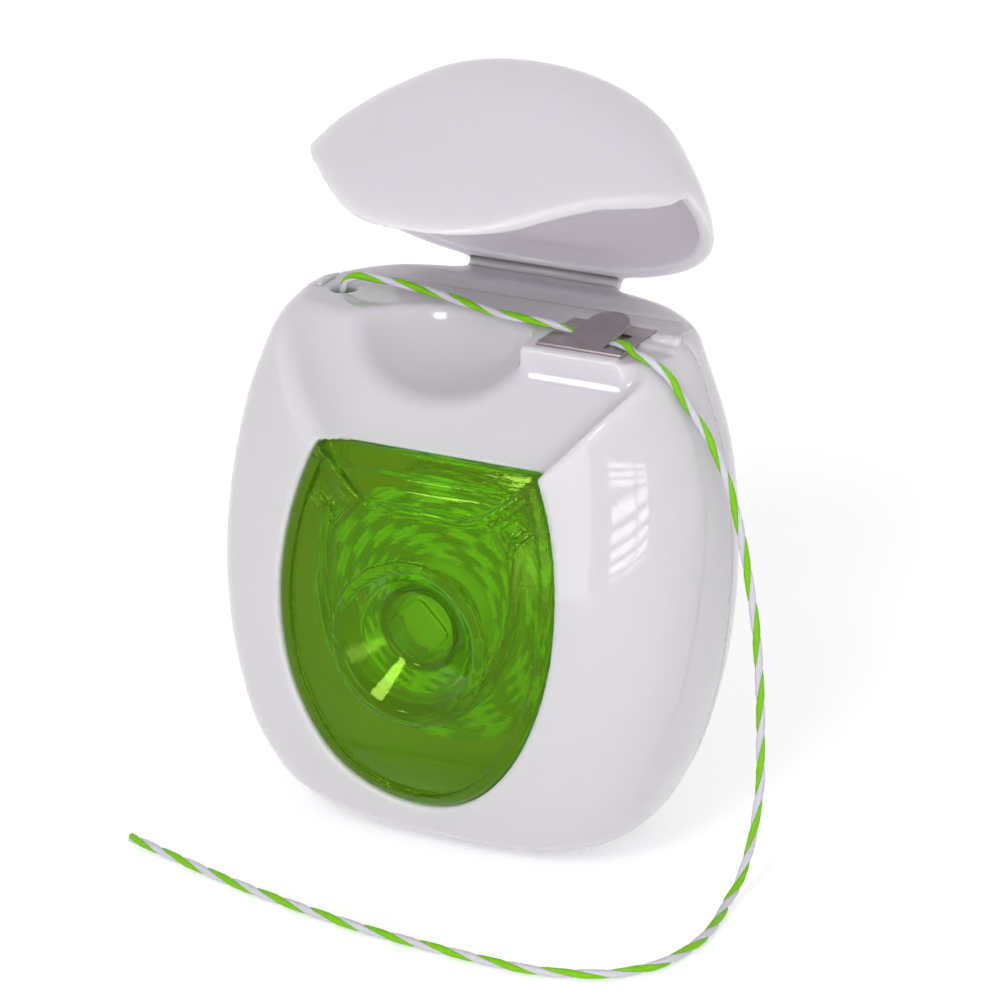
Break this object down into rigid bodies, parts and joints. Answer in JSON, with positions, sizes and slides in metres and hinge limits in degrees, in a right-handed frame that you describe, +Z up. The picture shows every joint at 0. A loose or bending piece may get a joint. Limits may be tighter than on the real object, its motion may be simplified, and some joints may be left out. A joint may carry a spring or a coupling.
{
  "type": "dental floss dispenser",
  "caption": "Pebble-shaped floss dispenser with a hinged domed lid, a green window, a steel cutter, a bobbin of floss and a free floss end.",
  "frame": {"origin": "middle of the base, on the middle plane of the body", "axes": "+X to the right seen from the front, -Y out of the front with the window, +Z up"},
  "size_m": [0.0612, 0.0522, 0.0763],
  "materials": {
    "white_plastic": "glossy moulded plastic",
    "green_clear_plastic": "transparent tinted plastic",
    "cutter_steel": "brushed",
    "bobbin_plastic": "moulded plastic",
    "floss": "two-ply twisted strand, green and white"
  },
  "bodies": {
    "housing": {"front_shell": "white_plastic", "rear_shell": "white_plastic", "hinge_strip": "white_plastic", "window": "green_clear_plastic", "cutter": "cutter_steel", "floss_lead": "floss", "floss_tail": "floss"},
    "lid": {"lid": "white_plastic"},
    "spool": {"spool_core": "bobbin_plastic", "floss_winding": "floss"}
  },
  "joints": [
    {"name": "lid_hinge", "type": "hinge", "parent": "housing", "child": "lid", "pos_m": [0, 0.01401, 0.0533], "axis": [-1, 0, 0], "range_deg": [-53, 60]},
    {"name": "spool_spin", "type": "hinge", "parent": "housing", "child": "spool", "pos_m": [0, 0, 0.025], "axis": [0, 1, 0], "continuous": true}
  ]
}
